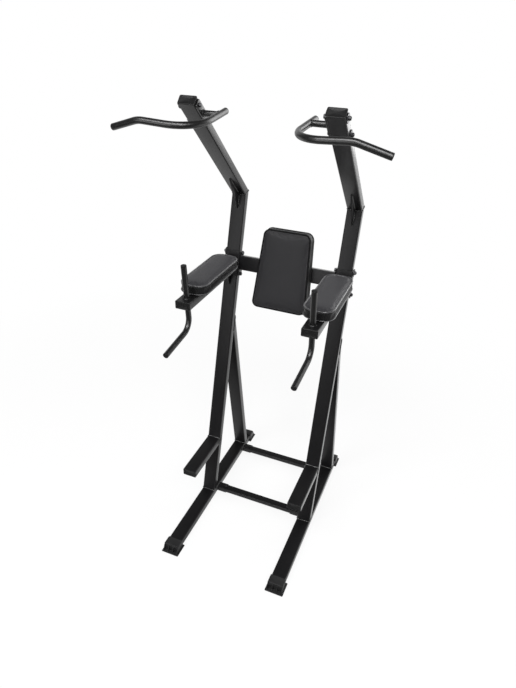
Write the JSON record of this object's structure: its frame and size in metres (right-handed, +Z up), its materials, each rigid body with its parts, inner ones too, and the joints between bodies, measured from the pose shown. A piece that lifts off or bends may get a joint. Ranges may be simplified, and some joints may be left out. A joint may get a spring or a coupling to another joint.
{
  "type": "dip station",
  "caption": "Free-standing dip, knee-raise and pull-up tower of flat steel tube with padded arm rests, back pad, foot steps, upright grips and curved overhead handles.",
  "frame": {"origin": "on the floor, at the bottom centre of the overall box, midway between the rails and midway along them", "axes": "+Z up; the user comes from -Y and leans back against the pad towards +Y; +X to the right when looking along +Y; X = 0 is the mirror plane"},
  "size_m": [1.1012, 1.0926, 2.2404],
  "materials": {
    "frame_steel": "satin black powder coat",
    "bar_steel": "semi-gloss black powder coat",
    "foot_rubber": "matte moulded rubber",
    "cap_plastic": "matte moulded plastic",
    "pad_vinyl": "smooth grained vinyl over foam",
    "pad_board": "raw plywood",
    "bolt_steel": "black zinc plate"
  },
  "bodies": {
    "root": {"rail_left": "frame_steel", "rail_right": "frame_steel", "cross_bar_front": "frame_steel", "cross_bar_rear": "frame_steel", "foot_front_left": "foot_rubber", "foot_front_right": "foot_rubber", "foot_rear_left": "foot_rubber", "foot_rear_right": "foot_rubber", "upright_left": "frame_steel", "upright_right": "frame_steel", "strut_left": "frame_steel", "strut_right": "frame_steel", "step_left": "frame_steel", "step_right": "frame_steel", "step_cap_left": "cap_plastic", "step_cap_right": "cap_plastic", "upper_post_left": "frame_steel", "upper_post_right": "frame_steel", "post_cap_left": "cap_plastic", "post_cap_right": "cap_plastic", "joint_spigot_left": "frame_steel", "joint_spigot_right": "frame_steel", "arm_left": "frame_steel", "arm_right": "frame_steel", "arm_cap_left": "cap_plastic", "arm_cap_right": "cap_plastic", "grip_bar_left": "bar_steel", "grip_bar_right": "bar_steel", "grip_plug_left": "cap_plastic", "grip_plug_right": "cap_plastic", "dip_plug_left": "cap_plastic", "dip_plug_right": "cap_plastic", "middle_beam": "frame_steel", "pull_up_handle_left": "bar_steel", "pull_up_handle_right": "bar_steel", "handle_plug_rear_left": "cap_plastic", "handle_plug_rear_right": "cap_plastic", "handle_plug_end_left": "cap_plastic", "handle_plug_end_right": "cap_plastic", "arm_pad_left": "pad_vinyl", "arm_pad_right": "pad_vinyl", "back_pad": "pad_vinyl", "arm_board_left": "pad_board", "arm_board_right": "pad_board", "back_board": "pad_board", "joint_bolt_upper_left": "bolt_steel", "joint_bolt_upper_right": "bolt_steel", "joint_bolt_lower_left": "bolt_steel", "joint_bolt_lower_right": "bolt_steel", "handle_bolt_upper_left": "bolt_steel", "handle_bolt_upper_right": "bolt_steel", "handle_bolt_lower_left": "bolt_steel", "handle_bolt_lower_right": "bolt_steel", "socket_bolt_front_left": "bolt_steel", "socket_bolt_front_right": "bolt_steel", "socket_bolt_rear_left": "bolt_steel", "socket_bolt_rear_right": "bolt_steel"}
  },
  "joints": []
}
